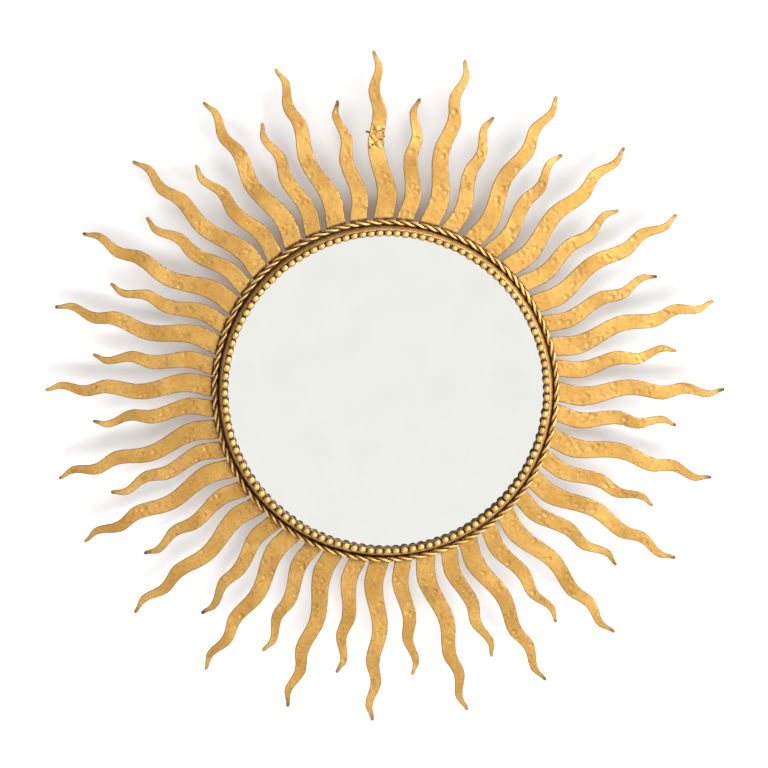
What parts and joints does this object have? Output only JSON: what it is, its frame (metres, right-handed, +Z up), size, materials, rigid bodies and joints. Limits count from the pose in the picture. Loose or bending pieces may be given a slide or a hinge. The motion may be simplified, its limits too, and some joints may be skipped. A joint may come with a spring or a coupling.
{
  "type": "sunburst mirror",
  "caption": "Round wall mirror in a gilt iron sunburst: wavy hammered flame rays of two lengths, a twisted wire ring and a beaded bezel around plain glass.",
  "frame": {"origin": "centre of the back ring's rear face, on the mirror's axis and on the wall plane", "axes": "+Z up as it hangs, +Y into the wall, so the glass faces -Y, and +X to the viewer's right"},
  "size_m": [0.6739, 0.0201, 0.6736],
  "materials": {
    "gilt_iron": "satin gilding over hammered iron, browned and worn dark at the edges",
    "bare_iron": "dark bare iron, dull",
    "silvered_glass": "plain flat silvered glass",
    "hardboard": "smooth brown hardboard"
  },
  "bodies": {
    "root": {"back_ring": "gilt_iron", "bezel": "gilt_iron", "bead_border": "gilt_iron", "rope_strand_one": "gilt_iron", "rope_strand_two": "gilt_iron", "long_ray_01": "gilt_iron", "long_ray_02": "gilt_iron", "long_ray_03": "gilt_iron", "long_ray_04": "gilt_iron", "long_ray_05": "gilt_iron", "long_ray_06": "gilt_iron", "long_ray_07": "gilt_iron", "long_ray_08": "gilt_iron", "long_ray_09": "gilt_iron", "long_ray_10": "gilt_iron", "long_ray_11": "gilt_iron", "long_ray_12": "gilt_iron", "long_ray_13": "gilt_iron", "long_ray_14": "gilt_iron", "long_ray_15": "gilt_iron", "long_ray_16": "gilt_iron", "long_ray_17": "gilt_iron", "long_ray_18": "gilt_iron", "long_ray_19": "gilt_iron", "long_ray_20": "gilt_iron", "long_ray_21": "gilt_iron", "long_ray_22": "gilt_iron", "long_ray_23": "gilt_iron", "long_ray_24": "gilt_iron", "short_ray_01": "gilt_iron", "short_ray_02": "gilt_iron", "short_ray_03": "gilt_iron", "short_ray_04": "gilt_iron", "short_ray_05": "gilt_iron", "short_ray_06": "gilt_iron", "short_ray_07": "gilt_iron", "short_ray_08": "gilt_iron", "short_ray_09": "gilt_iron", "short_ray_10": "gilt_iron", "short_ray_11": "gilt_iron", "short_ray_12": "gilt_iron", "short_ray_13": "gilt_iron", "short_ray_14": "gilt_iron", "short_ray_15": "gilt_iron", "short_ray_16": "gilt_iron", "short_ray_17": "gilt_iron", "short_ray_18": "gilt_iron", "short_ray_19": "gilt_iron", "short_ray_20": "gilt_iron", "short_ray_21": "gilt_iron", "short_ray_22": "gilt_iron", "short_ray_23": "gilt_iron", "short_ray_24": "gilt_iron", "mirror_glass": "silvered_glass", "backing_board": "hardboard", "retaining_tabs": "bare_iron", "hanging_wire": "bare_iron"}
  },
  "joints": []
}
